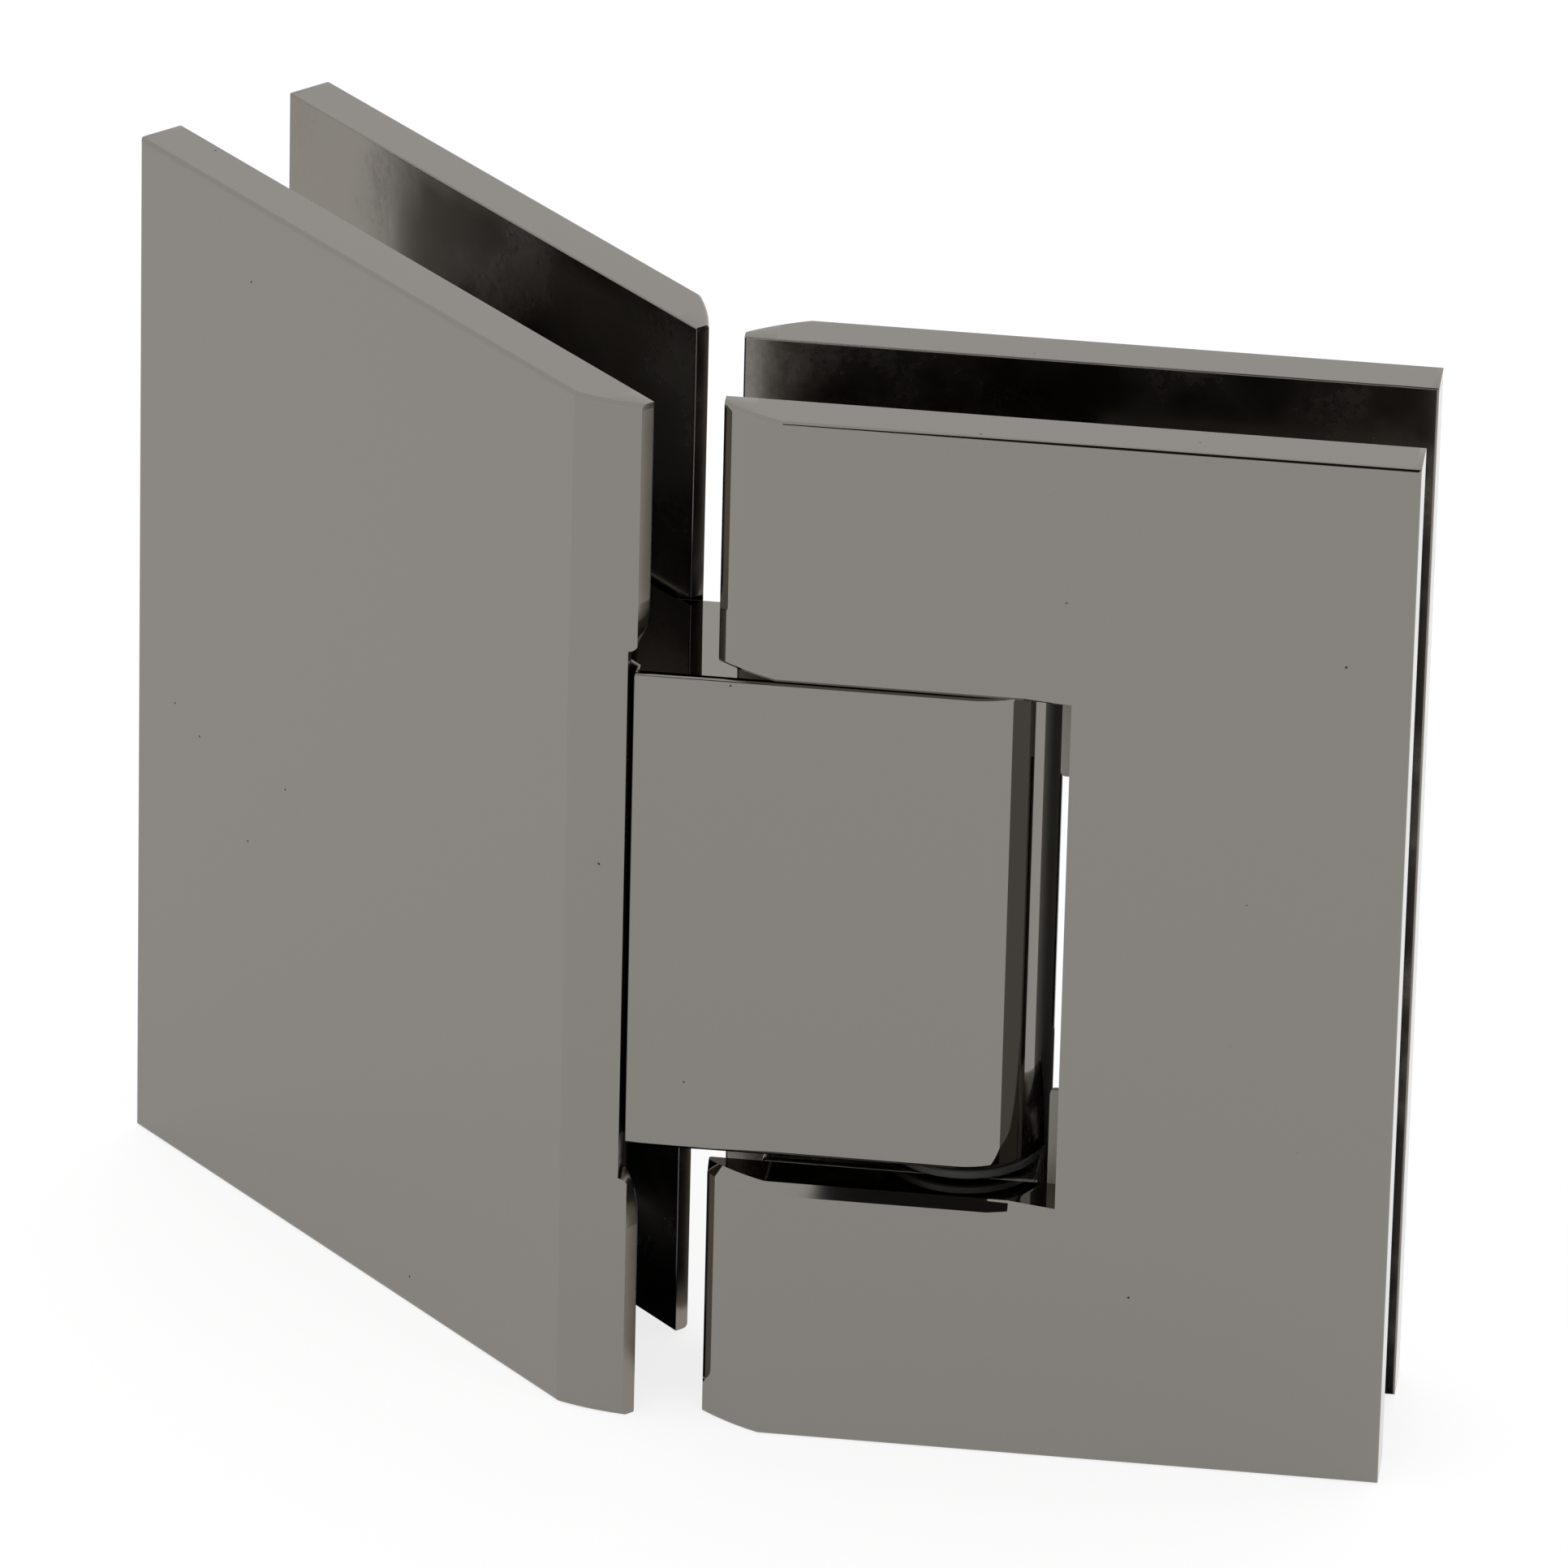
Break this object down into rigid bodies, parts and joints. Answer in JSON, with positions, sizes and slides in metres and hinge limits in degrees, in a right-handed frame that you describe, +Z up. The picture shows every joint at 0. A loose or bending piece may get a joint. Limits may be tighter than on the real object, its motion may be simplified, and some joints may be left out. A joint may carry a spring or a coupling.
{
  "type": "glass-to-glass shower door hinge",
  "caption": "Glass-to-glass hinge at 135 degrees: clamp plates joined by a pivot block, pin and sprung detent, for a frameless shower door.",
  "frame": {"origin": "on the floor in the middle of the leaves' footprint", "axes": "+Z up along the pivot axis, +X along the door leaf away from the pivot, -Y out of the door leaf's front face"},
  "size_m": [0.1062, 0.0564, 0.089],
  "materials": {
    "polished_nickel": "polished",
    "stainless_steel": "turned, satin",
    "spring_steel": "drawn wire",
    "acetal": "moulded",
    "clear_vinyl": "translucent, matt"
  },
  "bodies": {
    "fixed_leaf": {"fixed_front_plate": "polished_nickel", "fixed_back_plate": "polished_nickel", "fixed_front_gasket": "clear_vinyl", "fixed_back_gasket": "clear_vinyl", "pivot_block": "polished_nickel", "fixed_clamp_screw_upper": "stainless_steel", "fixed_clamp_screw_lower": "stainless_steel", "block_screw_upper": "stainless_steel", "block_screw_lower": "stainless_steel", "pin_bushing_upper": "acetal", "pin_bushing_lower": "acetal", "thrust_washer_upper": "acetal", "thrust_washer_lower": "acetal", "detent_spring_upper": "spring_steel", "detent_spring_lower": "spring_steel", "spring_plug_upper": "stainless_steel", "spring_plug_lower": "stainless_steel"},
    "door_leaf": {"door_front_plate": "polished_nickel", "door_back_plate": "polished_nickel", "door_front_gasket": "clear_vinyl", "door_back_gasket": "clear_vinyl", "pivot_pin": "stainless_steel", "door_clamp_screw_upper": "stainless_steel", "door_clamp_screw_lower": "stainless_steel", "pin_carrier_upper": "polished_nickel", "pin_carrier_lower": "polished_nickel", "carrier_screw_upper": "stainless_steel", "carrier_screw_lower": "stainless_steel", "pin_set_screw_upper": "stainless_steel", "pin_set_screw_lower": "stainless_steel"},
    "upper_plunger": {"detent_plunger_upper": "stainless_steel"},
    "lower_plunger": {"detent_plunger_lower": "stainless_steel"}
  },
  "joints": [
    {"name": "door_swing", "type": "hinge", "parent": "fixed_leaf", "child": "door_leaf", "pos_m": [0.0186, -0.0188, 0], "axis": [0, 0, 1], "range_deg": [-90, 90]},
    {"name": "upper_plunger_slide", "type": "slide", "parent": "fixed_leaf", "child": "upper_plunger", "axis": [1, 0, 0], "range_m": [0, 0.0006], "stiffness_N_per_m": 2500},
    {"name": "lower_plunger_slide", "type": "slide", "parent": "fixed_leaf", "child": "lower_plunger", "axis": [1, 0, 0], "range_m": [0, 0.0006], "stiffness_N_per_m": 2500}
  ]
}
